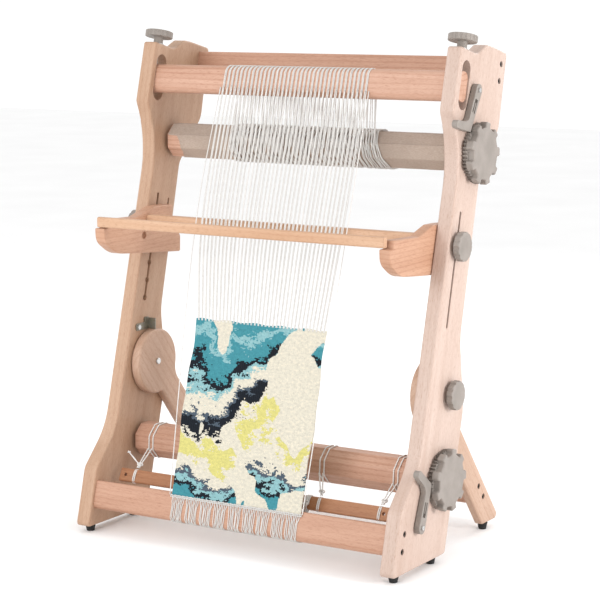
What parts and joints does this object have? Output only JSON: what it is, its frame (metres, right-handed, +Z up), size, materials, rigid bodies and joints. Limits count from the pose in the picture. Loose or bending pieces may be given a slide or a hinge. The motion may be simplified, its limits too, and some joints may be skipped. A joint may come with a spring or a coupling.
{
  "type": "upright tapestry loom",
  "caption": "Freestanding upright tapestry loom with leaning side panels, ratchet rollers, screw-tensioned top beam, sliding leash bars, a folding rear leg frame and a tapestry in progress.",
  "frame": {"origin": "middle of the bounding box's bottom, on the floor under the rubber feet", "axes": "+X to the loom's right as the weaver faces it, +Y away from the weaver, +Z up"},
  "size_m": [0.8048, 0.517, 1.045],
  "materials": {
    "beech": "satin oiled beech",
    "stick_wood": "oiled darker hardwood",
    "grey_plastic": "matte moulded",
    "zinc_steel": "zinc plated",
    "black_steel": "black oxide",
    "foot_rubber": "matte",
    "warp_cotton": "twisted cotton warp",
    "cord_cotton": "laid cotton cord",
    "tapestry_wool": "weft-faced wool",
    "cardboard": "kraft card"
  },
  "bodies": {
    "root": {"side_panel_left": "beech", "side_panel_right": "beech", "front_crossbar": "beech", "top_rear_rail": "beech", "frame_bolts": "black_steel", "frame_barrel_nuts": "zinc_steel", "panel_feet": "foot_rubber", "roller_bushes": "grey_plastic", "leg_pivot_bolts": "zinc_steel", "tension_washers": "zinc_steel", "pawl_screws": "zinc_steel", "latch_screws": "zinc_steel", "front_warp": "warp_cotton", "back_warp": "warp_cotton", "tapestry": "tapestry_wool", "lower_warp": "warp_cotton", "apron_stick": "stick_wood", "tie_cord_runs": "cord_cotton"},
    "upper_roller": {"upper_roller_core": "beech", "cardboard_wrap": "cardboard", "wound_warp": "warp_cotton", "upper_ratchet_wheel": "grey_plastic", "upper_wheel_pin": "zinc_steel"},
    "lower_roller": {"lower_roller_core": "beech", "lower_ratchet_wheel": "grey_plastic", "lower_wheel_pin": "zinc_steel", "tie_cord_wraps": "cord_cotton"},
    "upper_pawl_arm": {"upper_pawl": "grey_plastic", "upper_pawl_spring": "zinc_steel"},
    "lower_pawl_arm": {"lower_pawl": "grey_plastic", "lower_pawl_spring": "zinc_steel"},
    "beam": {"top_beam": "beech", "beam_thread_inserts": "zinc_steel", "beam_warp": "warp_cotton"},
    "tension_screw_left": {"tension_knob_left": "grey_plastic", "tension_rod_left": "zinc_steel"},
    "tension_screw_right": {"tension_knob_right": "grey_plastic", "tension_rod_right": "zinc_steel"},
    "leash_carriage": {"leash_bracket_left": "beech", "leash_bracket_right": "beech", "front_leash_bar": "beech", "shed_bar": "beech", "leash_studs": "zinc_steel", "leash_guide_pins": "zinc_steel"},
    "leash_knob_body_left": {"leash_knob_left": "grey_plastic"},
    "leash_knob_body_right": {"leash_knob_right": "grey_plastic"},
    "leg_frame": {"leg_left": "beech", "leg_right": "beech", "leg_crossbar": "beech", "leg_bolts": "black_steel", "leg_barrel_nuts": "zinc_steel", "leg_feet": "foot_rubber"},
    "leg_knob_body_left": {"leg_knob_left": "grey_plastic"},
    "leg_knob_body_right": {"leg_knob_right": "grey_plastic"},
    "leg_latch_body_left": {"leg_latch_left": "zinc_steel"},
    "leg_latch_body_right": {"leg_latch_right": "zinc_steel"}
  },
  "joints": [
    {"name": "upper_roller_turn", "type": "hinge", "parent": "root", "child": "upper_roller", "pos_m": [-0.0031, 0.06293, 0.806], "axis": [1, 0, 0], "continuous": true},
    {"name": "lower_roller_turn", "type": "hinge", "parent": "root", "child": "lower_roller", "pos_m": [-0.0031, -0.06807, 0.171], "axis": [1, 0, 0], "continuous": true},
    {"name": "upper_pawl_swing", "type": "hinge", "parent": "root", "child": "upper_pawl_arm", "pos_m": [-0.0031, 0.05378, 0.93066], "axis": [1, 0, 0], "range_deg": [-25, 0]},
    {"name": "lower_pawl_swing", "type": "hinge", "parent": "root", "child": "lower_pawl_arm", "pos_m": [-0.0031, -0.16868, 0.09682], "axis": [1, 0, 0], "range_deg": [0, 25]},
    {"name": "tension_left_turn", "type": "hinge", "parent": "root", "child": "tension_screw_left", "pos_m": [-0.3666, 0.03211, 1.01083], "axis": [0, 0.2385, 0.9711], "range_deg": [-1270, 1810]},
    {"name": "tension_right_turn", "type": "hinge", "parent": "root", "child": "tension_screw_right", "pos_m": [0.3604, 0.03211, 1.01083], "axis": [0, 0.2385, 0.9711], "range_deg": [-1270, 1810]},
    {"name": "beam_slide", "type": "slide", "parent": "root", "child": "beam", "axis": [0, 0.2385, 0.9711], "range_m": [-0.014, 0.02]},
    {"name": "leash_slide", "type": "slide", "parent": "root", "child": "leash_carriage", "axis": [0, 0.2385, 0.9711], "range_m": [-0.105, 0.06]},
    {"name": "leash_knob_left_turn", "type": "hinge", "parent": "leash_carriage", "child": "leash_knob_body_left", "pos_m": [-0.3831, -0.01107, 0.628], "axis": [1, 0, 0], "range_deg": [-180, 180]},
    {"name": "leash_knob_right_turn", "type": "hinge", "parent": "leash_carriage", "child": "leash_knob_body_right", "pos_m": [0.3769, -0.01107, 0.628], "axis": [1, 0, 0], "range_deg": [-180, 180]},
    {"name": "leg_fold", "type": "hinge", "parent": "root", "child": "leg_frame", "pos_m": [-0.0031, -0.03307, 0.335], "axis": [1, 0, 0], "range_deg": [-25, 95]},
    {"name": "leg_knob_left_turn", "type": "hinge", "parent": "root", "child": "leg_knob_body_left", "pos_m": [-0.3831, -0.03307, 0.335], "axis": [1, 0, 0], "range_deg": [-180, 180]},
    {"name": "leg_knob_right_turn", "type": "hinge", "parent": "root", "child": "leg_knob_body_right", "pos_m": [0.3769, -0.03307, 0.335], "axis": [1, 0, 0], "range_deg": [-180, 180]},
    {"name": "leg_latch_left_swing", "type": "hinge", "parent": "root", "child": "leg_latch_body_left", "pos_m": [-0.3491, -0.07507, 0.413], "axis": [1, 0, 0], "range_deg": [0, 40]},
    {"name": "leg_latch_right_swing", "type": "hinge", "parent": "root", "child": "leg_latch_body_right", "pos_m": [0.3429, -0.07507, 0.413], "axis": [1, 0, 0], "range_deg": [0, 40]}
  ],
  "couplings": [
    {"joint": "tension_left_turn", "follows": "beam_slide", "rad_per_m": 1570.8},
    {"joint": "tension_right_turn", "follows": "beam_slide", "rad_per_m": 1570.8}
  ]
}
